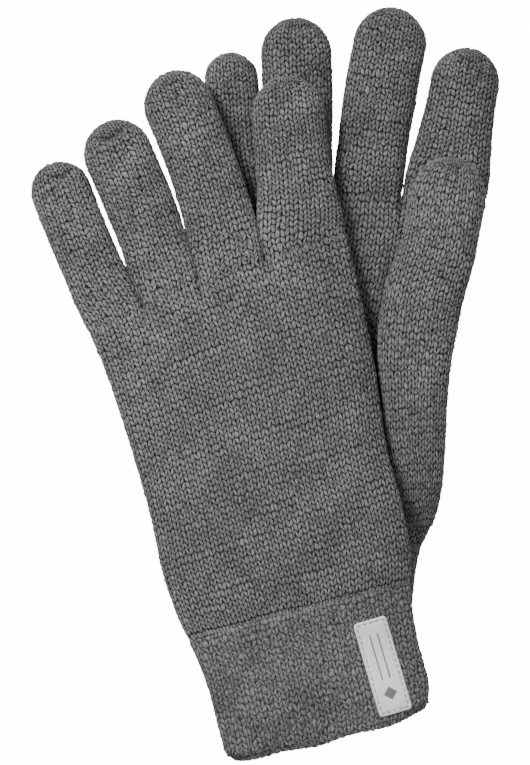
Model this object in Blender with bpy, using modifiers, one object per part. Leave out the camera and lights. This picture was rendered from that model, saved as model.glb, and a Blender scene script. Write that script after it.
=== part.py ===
"""A pair of lined knitted gloves lying flat: the left glove rests, back up, on the right glove, palm up.

Each glove is an outer knit shell (hand, cuff, fingers, thumb) over a separate lining, with a turned-in
cuff facing. All sizes are in millimetres until a mesh is made, +Z is up and +Y runs towards the fingers.
A glove has its own plan: "across" runs towards the thumb side and "along" from the cuff's hem to the tips.
"""

import math

import bmesh
import bpy
from mathutils import Vector

MM = 0.001

# Driving dimensions
THICKNESS = 13.5  # a lined hand or finger lying flat
KNIT_WALL = 1.6
LINING_WALL = 1.3
LAYER_GAP = 0.45
JOIN_GAP = 0.5  # between pieces that meet end to end
STACK_GAP = 0.6  # between the two gloves
CUFF_LEVELS = (0.0, 10.5, 21.0, 31.5, 42.0)  # rings of the cuff and its facing, from the hem
HAND_START = 51.0
ROOT_LEVEL = 184.0
HAND_LEVELS = (51.0, 70.0, 90.0, 110.0, 130.0, 150.0, 168.0, 184.0)
PRESSED_THUMB = 8.6  # the left thumb, pressed flat under its palm

# Hand outlines: along, little finger side, thumb side
LEFT_OUTLINE = (
    (0, -37.5, 38.0),
    (4, -40.3, 40.5),
    (28, -40.0, 41.8),
    (46, -41.9, 43.6),
    (60, -44.2, 47.3),
    (80, -45.6, 48.8),
    (104, -44.6, 49.0),
    (134, -45.2, 52.5),
    (160, -46.8, 54.0),
    (186, -50.5, 55.0),
)
RIGHT_OUTLINE = (
    (0, -37.5, 38.0),
    (4, -40.3, 40.5),
    (28, -40.0, 41.0),
    (46, -41.9, 41.6),
    (60, -44.2, 45.4),
    (80, -45.8, 47.6),
    (104, -45.2, 45.6),
    (134, -46.3, 47.2),
    (160, -47.8, 51.8),
    (186, -50.5, 55.0),
)
# Finger roots: across, along, from the little finger's outer side to the index finger's outer side
ROOT_LINE = ((-49.5, 172.0), (-27.0, 176.9), (-3.9, 181.4), (22.3, 182.7), (54.7, 184.0))
FINGERS = ("little", "ring", "middle", "index")

# Where each glove lies: hem centre x, y, the turn of its axis from +Y in degrees, and its outline
LEFT_PLACE = (24.9, -134.6, 14.8, LEFT_OUTLINE)
RIGHT_PLACE = (12.8, -108.2, -5.4, RIGHT_OUTLINE)

# Length, full width, and the lean from the glove's axis at the root and at the tip, in degrees
LEFT_FINGERS = {
    "little": (65.2, 23.2, 11.0, 4.5),
    "ring": (70.0, 26.4, 1.8, 12.0),
    "middle": (79.0, 26.4, -3.0, 11.5),
    "index": (65.0, 27.8, -5.6, -11.0),
}
RIGHT_FINGERS = {
    "little": (57.8, 20.6, 10.4, 9.5),
    "ring": (68.5, 27.0, 8.4, 6.8),
    "middle": (72.5, 28.0, 0.2, -8.0),
    "index": (58.5, 26.4, -5.0, -4.6),
}
# How far from its tip each right finger can fold up, clear of what lies on it
RIGHT_FOLDS = {"little": 16.0, "ring": 23.0, "middle": 60.0, "index": 36.0}

# Right thumb, laid over its own palm: x, y, half width, half height, from the tip down
THUMB_TIP = (71.0, 87.9)
THUMB_ROUTE = (
    (69.8, 70.4, 14.0, 6.75),
    (65.8, 51.4, 14.5, 6.75),
    (60.1, 32.4, 15.2, 6.75),
    (57.3, 13.4, 14.4, 6.75),
    (56.8, -2.3, 12.9, 6.75),
)
THUMB_ROOT = (
    (56.8, -2.3, 12.9, 6.75),
    (57.1, -19.3, 11.0, 6.3),
    (58.1, -33.3, 9.0, 5.6),
    (58.3, -46.3, 6.9, 4.6),
)
# Left thumb, folded under its palm: plan place of its root and tip, and half width
TUCKED_ROOT = (31.0, 76.0)
TUCKED_TIP = (9.0, 146.0)
TUCKED_HALF = 13.0
# Holes that join each thumb to its hand: plan place in the glove's own hand, half sizes
RIGHT_THUMB_HOLE = (56.8, -19.3, 5.5, 9.0)
LEFT_THUMB_HOLE = (28.2, 85.0, 6.0, 8.0)

# Drape of the left glove over the right one
OVERHANG_REACH = 66.0  # how far past the right glove the left one takes to sink to the table
TUCK_REACH = 42.0  # how far past the tucked thumb the palm over it takes to sink again

# Woven label, on the left cuff's back
LABEL_PLACE = (26.3, 21.8)  # across, along, of its centre
LABEL_SIZE = (12.6, 36.8, 0.5)
LABEL_TURN = 1.5
LABEL_CLEARANCE = 0.9  # over the cuff's curve, which the coarse cuff cuts across
LABEL_GRID = (6, 8)  # faces across and along
STITCH_RADIUS = 0.25
STITCH_INSET = 0.9
STITCH_CLEARANCE = 0.35
STITCH_RUNS = (3, 6)  # straight pieces of the stitch line across and along

# Fingers and thumbs
SPREAD_REACH = 42.0  # over this length from the root a finger widens to its full width
SQUARE_REACH = 14.0  # over this length its rings turn from the root line to square
TIP_ROUND = 9.0  # over this length its tip closes in height
TIP_CLEARANCE = 0.4  # from the last ring to the stated length
TIP_HALF_WIDTH, TIP_HALF_HEIGHT = 3.0, 2.6  # of the last ring, at least
THUMB_TIP_HALF_HEIGHT = 2.4
THUMB_TIP_CLEARANCE = 0.3
THUMB_TIP_RINGS = (0.995, 0.9, 0.6)  # shares of the way from the route's first ring to the tip
DEEPEST_INSET = 0.6  # of a ring's half height that a lining can step in
CREASE_RINGS, TIP_RINGS, WHOLE_RINGS = 3, 4, 6  # steps along a finger's base, its tip and a whole finger
PRESSED_WALL = 1.1  # both walls of the left thumb, so that the pressed tube keeps a way in
PRESSED_RINGS = (0.8, 0.55, 0.3, 0.0)  # shares of the way from its root to its tip
PLUG_MARGIN = 0.5  # a hole's cutter stops this far short of the middle of the thumb above
LINE_STEPS = 12  # straight pieces that a finger's bent line is summed from

# A section is a rounded flat shape, abs(x) ** BLUNTNESS + abs(z) ** BLUNTNESS = 1
BLUNTNESS = 2.6
PRESSING = 1.02  # a hand's section is pressed flat by this much over its middle
HAND_POINTS, FINGER_POINTS = 32, 12
SECTION_SAMPLES = 720  # to spread a hand's points evenly
SHARP_EDGE = math.radians(40)

# Colours: linear red, green, blue, then roughness
KNIT_COLOUR = (0.125, 0.125, 0.125, 0.95)
LINING_COLOUR = (0.045, 0.045, 0.047, 0.95)
LABEL_COLOUR = (0.68, 0.68, 0.68, 0.6)
THREAD_COLOUR = (0.45, 0.45, 0.45, 0.6)


# ---------------------------------------------------------------- plan geometry


def eased(low, high, share):
    share = min(max(share, 0.0), 1.0)
    return low + (high - low) * share * share * (3 - 2 * share)


def between(table, x):
    """The rest of a row of the table at x, read along straight lines."""
    for (x0, *low), (x1, *high) in zip(table, table[1:]):
        if x <= x1:
            break
    share = (x - x0) / (x1 - x0)
    return [a + (b - a) * share for a, b in zip(low, high)]


def root_along(across):
    """How far along the glove the finger roots lie, at this place across it."""
    return between(ROOT_LINE, min(max(across, ROOT_LINE[0][0]), ROOT_LINE[-1][0]))[0]


def placed(place, across, along):
    """A plan point of a glove in the shared frame."""
    x, y, turn, _ = place
    c, s = math.cos(math.radians(turn)), math.sin(math.radians(turn))
    return Vector((x + across * c - along * s, y + across * s + along * c, 0))


def plan_of(place, point):
    """The plan place, across and along, of a point in the shared frame."""
    x, y, turn, _ = place
    c, s = math.cos(math.radians(turn)), math.sin(math.radians(turn))
    dx, dy = point[0] - x, point[1] - y
    return dx * c + dy * s, -dx * s + dy * c


def finger_ends(name):
    """The two plan points of the root line that a finger stands between."""
    i = FINGERS.index(name)
    return ROOT_LINE[i], ROOT_LINE[i + 1]


def finger_line(place, fingers, name):
    """A function from distance along a finger to its centre and heading in the shared frame."""
    length, _, root_lean, tip_lean = fingers[name]
    (a0, s0), (a1, s1) = finger_ends(name)
    start = placed(place, (a0 + a1) / 2, (s0 + s1) / 2)

    def at(distance):
        step = distance / LINE_STEPS
        point = start.copy()
        for i in range(LINE_STEPS):
            lean = place[2] + root_lean + (tip_lean - root_lean) * (i + 0.5) * step / length
            point += step * Vector((-math.sin(math.radians(lean)), math.cos(math.radians(lean)), 0))
        lean = place[2] + root_lean + (tip_lean - root_lean) * distance / length
        return point, Vector((-math.sin(math.radians(lean)), math.cos(math.radians(lean)), 0))

    return at


def distance_to_line(point, points):
    """Plan distance from a point to a run of straight pieces."""
    best = 1e9
    for a, b in zip(points, points[1:]):
        run = b - a
        share = min(max((point - a).dot(run) / run.length_squared, 0.0), 1.0)
        best = min(best, (point - a - run * share).length)
    return best


# ---------------------------------------------------------------- drape

def support_line(name):
    """The middle line of a right finger that holds the left glove up, and its half width."""
    length, width, _, _ = RIGHT_FINGERS[name]
    at = finger_line(RIGHT_PLACE, RIGHT_FINGERS, name)
    return [at(distance)[0] for distance in (0, length / 2, length - width / 2)], width / 2


RIGHT_LINES = [support_line(name) for name in FINGERS]
TUCKED_LINE = [placed(LEFT_PLACE, *TUCKED_ROOT), placed(LEFT_PLACE, *TUCKED_TIP)]


def outside_right_glove(point):
    """How far a plan point lies outside the right glove, 0 on it."""
    across, along = plan_of(RIGHT_PLACE, point)
    left, right = between(RIGHT_OUTLINE, min(max(along, 0), RIGHT_OUTLINE[-1][0]))
    side = max(left - across, across - right, 0)
    end = max(-along, along - root_along(across), 0)
    outside = math.hypot(side, end)
    for line, half in RIGHT_LINES:
        outside = min(outside, max(distance_to_line(point, line) - half, 0))
    return outside


def sinking(outside, reach):
    """1 on the support, falling smoothly to 0 at the reach."""
    return 0.5 + 0.5 * math.cos(math.pi * min(outside / reach, 1.0))


def support(point):
    """Height of what the left glove lies on, at a plan point."""
    on_right = (THICKNESS + STACK_GAP) * sinking(outside_right_glove(point), OVERHANG_REACH)
    outside_thumb = max(distance_to_line(point, TUCKED_LINE) - TUCKED_HALF, 0)
    return on_right + (PRESSED_THUMB + STACK_GAP) * sinking(outside_thumb, TUCK_REACH)


# ---------------------------------------------------------------- meshes


def section(count):
    """Points of a rounded flat section, each side 1 from its centre, from the thumb side over the top."""
    points = []
    for i in range(count):
        turn = 2 * math.pi * i / count
        c, s = math.cos(turn), math.sin(turn)
        points.append((math.copysign(abs(c) ** (2 / BLUNTNESS), c),
                       math.copysign(abs(s) ** (2 / BLUNTNESS), s)))
    return points


def flattened(z):
    """A section's height from -1 to 1, pressed flat over its middle third."""
    return min(max(z * PRESSING, -1.0), 1.0)


def flat_section(count, half_width, half_height):
    """Points of a wide flat section, spread evenly by length, as x and z from its centre."""
    fine = [(x * half_width, flattened(z) * half_height) for x, z in section(SECTION_SAMPLES)]
    fine.append(fine[0])
    lengths = [0.0]
    for (x0, z0), (x1, z1) in zip(fine, fine[1:]):
        lengths.append(lengths[-1] + math.hypot(x1 - x0, z1 - z0))
    points, j = [], 0
    for i in range(count):
        want = lengths[-1] * i / count
        while lengths[j + 1] < want:
            j += 1
        share = (want - lengths[j]) / (lengths[j + 1] - lengths[j])
        (x0, z0), (x1, z1) = fine[j], fine[j + 1]
        points.append((x0 + (x1 - x0) * share, z0 + (z1 - z0) * share))
    return points


def inset_loop(points, inset):
    """A closed outline moved inwards by the same distance on every side."""
    moved = []
    for i, (x, z) in enumerate(points):
        x0, z0 = points[i - 1]
        x1, z1 = points[(i + 1) % len(points)]
        before = Vector((z0 - z, x - x0)).normalized()
        after = Vector((z - z1, x1 - x)).normalized()
        mitre = (before + after) / (1 + before.dot(after))
        moved.append((x + mitre.x * inset, z + mitre.y * inset))
    return moved


def lofted(name, rings, capped):
    """An open surface through rings of points, in millimetres, with its last ring closed if capped."""
    mesh = bmesh.new()
    rows = [[mesh.verts.new(Vector(p) * MM) for p in ring] for ring in rings]
    for low, high in zip(rows, rows[1:]):
        for i in range(len(low)):
            j = (i + 1) % len(low)
            mesh.faces.new((low[i], low[j], high[j], high[i]))
    if capped:
        mesh.faces.new(rows[-1])
    bmesh.ops.recalc_face_normals(mesh, faces=mesh.faces)
    data = bpy.data.meshes.new(name)
    mesh.to_mesh(data)
    mesh.free()
    return data


def evaluated(thing):
    """Applies an object's modifiers to its mesh."""
    bpy.context.view_layer.update()
    graph = bpy.context.evaluated_depsgraph_get()
    mesh = bpy.data.meshes.new_from_object(thing.evaluated_get(graph))
    thing.modifiers.clear()
    thing.data = mesh
    return mesh


def layer(name, rings, wall, look, capped=False, draped=False):
    """A cloth tube through the rings, its wall built inwards, laid over the support if draped."""
    thing = bpy.data.objects.new(name, lofted(name, rings, capped))
    PARTS.objects.link(thing)
    shell = thing.modifiers.new("wall", "SOLIDIFY")
    shell.thickness = wall * MM
    shell.offset = -1
    shell.use_even_offset = True
    mesh = evaluated(thing)
    if draped:
        for vertex in mesh.vertices:
            vertex.co.z += support(Vector((vertex.co.x, vertex.co.y, 0)) / MM) * MM
    mesh.materials.append(look)
    mesh.shade_smooth()
    mesh.set_sharp_from_angle(angle=SHARP_EDGE)
    return thing


def cut(thing, cutter):
    """Takes the cutter out of an object for good."""
    hole = thing.modifiers.new("hole", "BOOLEAN")
    hole.operation = "DIFFERENCE"
    hole.object = cutter
    evaluated(thing)


def material(name, colour):
    made = bpy.data.materials.new(name)
    made.use_nodes = True
    shader = made.node_tree.nodes["Principled BSDF"]
    shader.inputs["Base Color"].default_value = (*colour[:3], 1)
    shader.inputs["Roughness"].default_value = colour[3]
    return made


# ---------------------------------------------------------------- hand, cuff and lining


def hand_along(level, across):
    """Distance along the glove: levels past the cuff stretch so that the last follows the finger roots."""
    if level <= HAND_START:
        return level
    share = (level - HAND_START) / (ROOT_LEVEL - HAND_START)
    return HAND_START + (root_along(across) - JOIN_GAP / 2 - HAND_START) * share


def hand_rings(place, levels, inset):
    """Rings of a hand or cuff at these distances along it."""
    rings = []
    for level in levels:
        left, right = between(place[3], level)
        outline = flat_section(HAND_POINTS, (right - left) / 2, THICKNESS / 2)
        ring = []
        for x, z in inset_loop(outline, inset):
            across = (left + right) / 2 + x
            point = placed(place, across, hand_along(level, across))
            point.z = THICKNESS / 2 + z
            ring.append(point)
        rings.append(ring)
    return rings


def build_hand(side, place, draped):
    """The hand shell, its lining, the cuff and the cuff's facing."""
    inner = KNIT_WALL + LAYER_GAP
    facing_end = CUFF_LEVELS[-1] - JOIN_GAP
    shell = layer(f"{side}_hand_shell", hand_rings(place, HAND_LEVELS, 0), KNIT_WALL, KNIT, draped=draped)
    lining_levels = CUFF_LEVELS[-1:] + HAND_LEVELS
    lining = layer(f"{side}_hand_lining", hand_rings(place, lining_levels, inner),
                   LINING_WALL, LINING, draped=draped)
    cuff_levels = CUFF_LEVELS + (HAND_START - JOIN_GAP,)
    layer(f"{side}_cuff", hand_rings(place, cuff_levels, 0), KNIT_WALL, KNIT, draped=draped)
    facing_levels = CUFF_LEVELS[:-1] + (facing_end,)
    layer(f"{side}_cuff_facing", hand_rings(place, facing_levels, inner), LINING_WALL, KNIT, draped=draped)
    return shell, lining


# ---------------------------------------------------------------- fingers


def finger_rings(place, fingers, name, low, high, steps, inset):
    """Rings of a finger between two distances from its root; a ring at the root follows the root line."""
    length, width, _, _ = fingers[name]
    at = finger_line(place, fingers, name)
    (a0, s0), (a1, s1) = finger_ends(name)
    root_left, root_right = placed(place, a0, s0), placed(place, a1, s1)
    root_half = (root_right - root_left).length / 2 - JOIN_GAP / 2
    root_side = (root_right - root_left).normalized()
    tip_half = width / 2
    rings = []
    for step in range(steps + 1):
        share = step / steps
        if high >= length:  # rings close up towards a tip
            share = math.sin(share * math.pi / 2) ** 0.9
        distance = low + (min(high, length - inset - TIP_CLEARANCE) - low) * share
        centre, heading = at(distance)
        square = Vector((heading.y, -heading.x, 0))
        side = (root_side + (square - root_side) * min(distance / SQUARE_REACH, 1.0)).normalized()
        half = eased(root_half, tip_half, distance / SPREAD_REACH)
        half_height = THICKNESS / 2
        past = distance + inset - (length - tip_half)
        if past > 0:
            half = max(tip_half * math.sqrt(max(1 - (past / tip_half) ** 2, 0.0)), TIP_HALF_WIDTH)
        past = distance + inset - (length - TIP_ROUND)
        if past > 0:
            closing = math.sqrt(max(1 - (past / TIP_ROUND) ** 3, 0.0))
            half_height = max(half_height * closing, TIP_HALF_HEIGHT)
        outline = [(x * half, z * half_height) for x, z in section(FINGER_POINTS)]
        ring = []
        for x, z in inset_loop(outline, min(inset, half_height * DEEPEST_INSET)):
            point = centre + side * x
            point.z = THICKNESS / 2 + z
            ring.append(point)
        rings.append(ring)
    return rings


def build_finger(side, place, fingers, name, fold, draped):
    """A finger's shell and lining, in two lengths where it folds."""
    length = fingers[name][0]
    start = JOIN_GAP / 2
    for kind, wall, inset, look in (
        ("", KNIT_WALL, 0, KNIT),
        ("_lining", LINING_WALL, KNIT_WALL + LAYER_GAP, LINING),
    ):
        if fold is None:
            rings = finger_rings(place, fingers, name, start, length, WHOLE_RINGS, inset)
            layer(f"{side}_{name}_finger{kind}", rings, wall, look, capped=True, draped=draped)
            continue
        crease = length - fold
        rings = finger_rings(place, fingers, name, start, crease - JOIN_GAP / 2, CREASE_RINGS, inset)
        layer(f"{side}_{name}_finger{kind}", rings, wall, look, draped=draped)
        rings = finger_rings(place, fingers, name, crease + JOIN_GAP / 2, length, TIP_RINGS, inset)
        layer(f"{side}_{name}_fingertip{kind}", rings, wall, look, capped=True, draped=draped)


# ---------------------------------------------------------------- thumbs


def route_rings(route, bottom, inset, tip=None, join=None):
    """Rings square to a route of x, y, half width and half height; a tip point rounds its start.

    A ring at the join's place is square to +Y, so that two routes meet flat there.
    """
    rows = list(route)
    if tip:
        x, y, half, tall = route[0]
        run = Vector((tip[0] - x, tip[1] - y, 0))
        reach = run.length - inset - THUMB_TIP_CLEARANCE
        ends = []
        for share in THUMB_TIP_RINGS:
            point = Vector((x, y, 0)) + run.normalized() * reach * share
            # the round tip keeps the tube's width at its start and closes in a half circle
            ends.append((point.x, point.y, half * math.sqrt(1 - share**2.4),
                         tall * math.sqrt(1 - share**3.2)))
        rows = ends + rows
    rings = []
    for i, (x, y, half, tall) in enumerate(rows):
        ahead = rows[max(i - 1, 0)]
        behind = rows[min(i + 1, len(rows) - 1)]
        heading = Vector((ahead[0] - behind[0], ahead[1] - behind[1], 0)).normalized()
        if join and abs(y - join[1]) < JOIN_GAP:
            heading = Vector((0, 1, 0))
        side = Vector((heading.y, -heading.x, 0))
        middle = bottom + max(route[0][3], tall) if tip else bottom + tall
        half, tall = max(half, TIP_HALF_WIDTH), max(tall, THUMB_TIP_HALF_HEIGHT)
        outline = [(u * half, w * tall) for u, w in section(FINGER_POINTS)]
        ring = []
        for u, w in inset_loop(outline, min(inset, tall * DEEPEST_INSET)):
            point = Vector((x, y, 0)) + side * u
            point.z = middle + w
            ring.append(point)
        rings.append(ring)
    return rings[::-1]


def build_right_thumb():
    """The right thumb, lying on its palm and index finger, and its fixed root."""
    bottom = THICKNESS + STACK_GAP
    x, y, half, tall = THUMB_ROUTE[-1]
    free = THUMB_ROUTE[:-1] + ((x, y + JOIN_GAP / 2, half, tall),)
    fixed = ((x, y - JOIN_GAP / 2, half, tall),) + THUMB_ROOT[1:]
    roots = []
    for kind, wall, inset, look in (
        ("", KNIT_WALL, 0, KNIT),
        ("_lining", LINING_WALL, KNIT_WALL + LAYER_GAP, LINING),
    ):
        rings = route_rings(free, bottom, inset, THUMB_TIP, join=(x, y))
        layer(f"right_thumb{kind}", rings, wall, look, capped=True)
        rings = route_rings(fixed, bottom, inset, join=(x, y))
        roots.append(layer(f"right_thumb_root{kind}", rings, wall, look))
    return roots


def build_left_thumb():
    """The left thumb, pressed flat between the two gloves."""
    tip, root = placed(LEFT_PLACE, *TUCKED_TIP), placed(LEFT_PLACE, *TUCKED_ROOT)
    run = tip - root
    half_height = PRESSED_THUMB / 2
    bottom = THICKNESS + STACK_GAP
    route = []
    for share in PRESSED_RINGS:
        point = root + run * share
        route.append((point.x, point.y, TUCKED_HALF, half_height))
    made = []
    for kind, inset, look in (("", 0, KNIT), ("_lining", PRESSED_WALL + LAYER_GAP, LINING)):
        rings = route_rings(route, bottom, inset, (tip.x, tip.y))
        made.append(layer(f"left_thumb{kind}", rings, PRESSED_WALL, look, capped=True))
    return made


def thumb_cutter(name, x, y, half_x, half_y, low, high):
    """An upright oval plug that opens a thumb into its hand."""
    bpy.ops.mesh.primitive_cylinder_add(vertices=16, radius=1, depth=1, location=(0, 0, 0))
    cutter = bpy.context.object
    cutter.name = name
    cutter.data.transform(
        ((half_x * MM, 0, 0, x * MM), (0, half_y * MM, 0, y * MM),
         (0, 0, (high - low) * MM, (low + high) / 2 * MM), (0, 0, 0, 1))
    )
    for collection in list(cutter.users_collection):
        collection.objects.unlink(cutter)
    CUTTERS.objects.link(cutter)
    cutter.hide_render = True
    cutter.display_type = "WIRE"
    return cutter


# ---------------------------------------------------------------- label


def label_point(across, along, lift):
    """A point over the left cuff's back, from the label's own centre."""
    c, s = math.cos(math.radians(LABEL_TURN)), math.sin(math.radians(LABEL_TURN))
    point = placed(LEFT_PLACE, LABEL_PLACE[0] + across * c - along * s,
                   LABEL_PLACE[1] + across * s + along * c)
    left, right = between(LEFT_OUTLINE, LABEL_PLACE[1])
    share = min(abs(LABEL_PLACE[0] + across - (left + right) / 2) / ((right - left) / 2), 1.0)
    drop = THICKNESS / 2 * (1 - flattened((1 - share**BLUNTNESS) ** (1 / BLUNTNESS)))
    point.z = support(point) + THICKNESS - drop + lift
    return point


def build_label():
    """The woven label, bent to the cuff, and the line of stitches round its edge."""
    wide, tall, thick = LABEL_SIZE
    columns, rows = LABEL_GRID
    mesh = bmesh.new()
    lift = LABEL_CLEARANCE + thick
    grid = [
        [mesh.verts.new(label_point(wide * (i / columns - 0.5), tall * (j / rows - 0.5), lift) * MM)
         for i in range(columns + 1)]
        for j in range(rows + 1)
    ]
    for low, high in zip(grid, grid[1:]):
        for i in range(columns):
            mesh.faces.new((low[i], low[i + 1], high[i + 1], high[i]))
    data = bpy.data.meshes.new("label")
    mesh.to_mesh(data)
    mesh.free()
    label = bpy.data.objects.new("label", data)
    PARTS.objects.link(label)
    body = label.modifiers.new("thickness", "SOLIDIFY")
    body.thickness = thick * MM
    body.offset = -1
    data.materials.append(LABEL)

    curve = bpy.data.curves.new("label_stitching", "CURVE")
    curve.dimensions = "3D"
    curve.bevel_depth = STITCH_RADIUS * MM
    curve.bevel_resolution = 0
    half_wide, half_tall = wide / 2 - STITCH_INSET, tall / 2 - STITCH_INSET
    corners = [(-1, -1), (1, -1), (1, 1), (-1, 1)]
    route = []
    for (x0, y0), (x1, y1) in zip(corners, corners[1:] + corners[:1]):
        pieces = STITCH_RUNS[0] if y0 == y1 else STITCH_RUNS[1]
        for i in range(pieces):
            share = i / pieces
            route.append(label_point((x0 + (x1 - x0) * share) * half_wide,
                                     (y0 + (y1 - y0) * share) * half_tall,
                                     lift + STITCH_CLEARANCE + STITCH_RADIUS))
    spline = curve.splines.new("POLY")
    spline.points.add(len(route) - 1)
    for spot, point in zip(spline.points, route):
        spot.co = (*(point * MM), 1)
    spline.use_cyclic_u = True
    curve.materials.append(THREAD)
    PARTS.objects.link(bpy.data.objects.new("label_stitching", curve))


# ---------------------------------------------------------------- assembly


def main():
    right_hand = build_hand("right", RIGHT_PLACE, draped=False)
    left_hand = build_hand("left", LEFT_PLACE, draped=True)
    for name in FINGERS:
        build_finger("right", RIGHT_PLACE, RIGHT_FINGERS, name, RIGHT_FOLDS[name], draped=False)
        build_finger("left", LEFT_PLACE, LEFT_FINGERS, name, None, draped=True)
    right_root = build_right_thumb()
    left_thumb = build_left_thumb()

    middle = THICKNESS / 2
    over = THICKNESS + STACK_GAP
    x, y, half_x, half_y = RIGHT_THUMB_HOLE
    plug = thumb_cutter("right_thumb_hole", x, y, half_x, half_y, middle, over + middle - PLUG_MARGIN)
    for piece in (*right_hand, *right_root):
        cut(piece, plug)
    across, along, half_x, half_y = LEFT_THUMB_HOLE
    centre = placed(LEFT_PLACE, across, along)
    above = support(centre) + middle
    plug = thumb_cutter("left_thumb_hole", centre.x, centre.y, half_x, half_y,
                        over + PRESSED_THUMB / 2, above)
    for piece in (*left_hand, *left_thumb):
        cut(piece, plug)
    build_label()


for old in list(bpy.data.objects):
    bpy.data.objects.remove(old)
PARTS = bpy.data.collections.new("knitted_gloves")
CUTTERS = bpy.data.collections.new("cutters")
bpy.context.scene.collection.children.link(PARTS)
bpy.context.scene.collection.children.link(CUTTERS)
KNIT = material("grey_knit", KNIT_COLOUR)
LINING = material("lining_fleece", LINING_COLOUR)
LABEL = material("woven_label", LABEL_COLOUR)
THREAD = material("label_thread", THREAD_COLOUR)
main()
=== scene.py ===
"""The looks of a pair of knitted gloves: knit shells with every stitch, fleece linings and a woven patch.

Plan sizes are in millimetres. A glove has its own plan: "across" runs towards the thumb side and "along"
from the hem to the fingertips. Every knitted tube is a grid of stitches: its rows are courses, its columns
are wales, and the loops of yarn stand proud of the cloth. The same stitch places are kept as a UV map,
which the yarn's material reads.
"""

import math

import bpy
import numpy as np
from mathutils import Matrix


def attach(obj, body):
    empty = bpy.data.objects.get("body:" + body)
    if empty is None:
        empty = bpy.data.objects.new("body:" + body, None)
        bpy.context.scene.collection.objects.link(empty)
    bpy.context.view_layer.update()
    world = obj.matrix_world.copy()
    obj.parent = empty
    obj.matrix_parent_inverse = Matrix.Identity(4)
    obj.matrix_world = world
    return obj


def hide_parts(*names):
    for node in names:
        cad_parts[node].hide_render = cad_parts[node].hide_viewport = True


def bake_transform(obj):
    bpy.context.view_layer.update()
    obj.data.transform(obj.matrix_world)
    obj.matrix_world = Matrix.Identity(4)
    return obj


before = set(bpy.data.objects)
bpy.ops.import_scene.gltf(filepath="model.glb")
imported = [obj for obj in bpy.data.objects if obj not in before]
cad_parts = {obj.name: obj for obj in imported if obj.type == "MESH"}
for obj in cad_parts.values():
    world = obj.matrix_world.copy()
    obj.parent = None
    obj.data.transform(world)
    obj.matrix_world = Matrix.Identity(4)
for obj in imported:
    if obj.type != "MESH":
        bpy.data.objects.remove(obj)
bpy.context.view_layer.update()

MM = 0.001
TAU = 2 * math.pi

# ------------------------------------------------------------ the gloves' own sizes, as in the CAD

THICKNESS = 13.5
STACK_GAP = 0.6  # between the two gloves
PRESSED_THUMB = 8.6  # thickness of the left thumb, pressed flat
BLUNTNESS = 2.6  # of a hand's section: 2 is an ellipse, more is nearer to a rectangle
ROOT_BLUNTNESS = 4.2  # of a finger's section where it leaves the hand
THUMB_BLUNTNESS, TUCKED_BLUNTNESS = 2.4, 3.0  # of the right and of the left thumb's section
CUFF_TOP = 50.75
FACING_TOP = 41.5
HAND_TOP = 184.0  # where the hand ends, at the thumb side of the finger roots

# Hand outlines: along, little finger side, thumb side
LEFT_OUTLINE = (
    (0, -37.5, 38.0), (4, -40.3, 40.5), (28, -40.0, 41.8), (46, -41.9, 43.6), (60, -44.2, 47.3),
    (80, -45.6, 48.8), (104, -44.6, 49.0), (134, -45.2, 52.5), (160, -46.8, 54.0), (186, -50.5, 55.0),
)
RIGHT_OUTLINE = (
    (0, -37.5, 38.0), (4, -40.3, 40.5), (28, -40.0, 41.0), (46, -41.9, 41.6), (60, -44.2, 45.4),
    (80, -45.8, 47.6), (104, -45.2, 45.6), (134, -46.3, 47.2), (160, -47.8, 51.8), (186, -50.5, 55.0),
)
# Finger roots: across, along
ROOT_LINE = ((-49.5, 172.0), (-27.0, 176.9), (-3.9, 181.4), (22.3, 182.7), (54.7, 184.0))
FINGERS = ("little", "ring", "middle", "index")
# Hem centre x, y, turn of the axis in degrees, outline
LEFT_PLACE = (24.9, -134.6, 14.8, LEFT_OUTLINE)
RIGHT_PLACE = (12.8, -108.2, -5.4, RIGHT_OUTLINE)
# Length, width, lean at the root and at the tip
LEFT_FINGERS = {
    "little": (65.2, 23.2, 11.0, 4.5),
    "ring": (70.0, 26.4, 1.8, 12.0),
    "middle": (79.0, 26.4, -3.0, 11.5),
    "index": (65.0, 27.8, -5.6, -11.0),
}
RIGHT_FINGERS = {
    "little": (57.8, 20.6, 10.4, 9.5),
    "ring": (68.5, 27.0, 8.4, 6.8),
    "middle": (72.5, 28.0, 0.2, -8.0),
    "index": (58.5, 26.4, -5.0, -4.6),
}
# Distance from each right fingertip to its fold
RIGHT_FOLDS = {"little": 16.0, "ring": 23.0, "middle": 60.0, "index": 36.0}
SPREAD_REACH = 42.0  # over this length from its root a finger takes on its own width
# Right thumb: x, y, half width, half height, from its sunk end up to where its tip starts to round
THUMB_ROUTE = (
    (58.3, -54.0, 5.5, 3.2),
    (58.3, -46.3, 7.9, 4.6),
    (58.1, -33.3, 10.0, 5.6),
    (57.1, -19.3, 11.8, 6.3),
    (56.8, -2.3, 12.9, 6.75),
    (57.3, 13.4, 14.4, 6.75),
    (60.1, 32.4, 15.2, 6.75),
    (65.8, 51.4, 14.5, 6.75),
    (69.8, 72.6, 14.0, 6.75),
)
THUMB_SINK = 4.5  # how deep the thumb's sunk end lies in the palm
THUMB_RISE = 30.0  # the length over which it comes up
# Left thumb, tucked under its palm: across and along of its ends, and half width
TUCKED_ROOT = (31.0, 76.0)
TUCKED_TIP = (9.0, 146.0)
TUCKED_HALF = 13.0
OVERHANG_REACH = 66.0  # the left glove sinks to the table over this distance from the right one
TUCK_REACH = 42.0  # and over this distance from the tucked thumb
LABEL_PLACE = (26.3, 21.8)
LABEL_SIZE = (12.9, 37.0)
LABEL_TURN = 1.5  # degrees
LABEL_SEAM = 1.15  # distance of its stitches from its edge
STITCH_PITCH = 2.3
STITCH_SHARE = 0.72  # of the pitch, that shows as thread
THREAD_RADIUS = 0.17

# ------------------------------------------------------------ the knit

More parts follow.
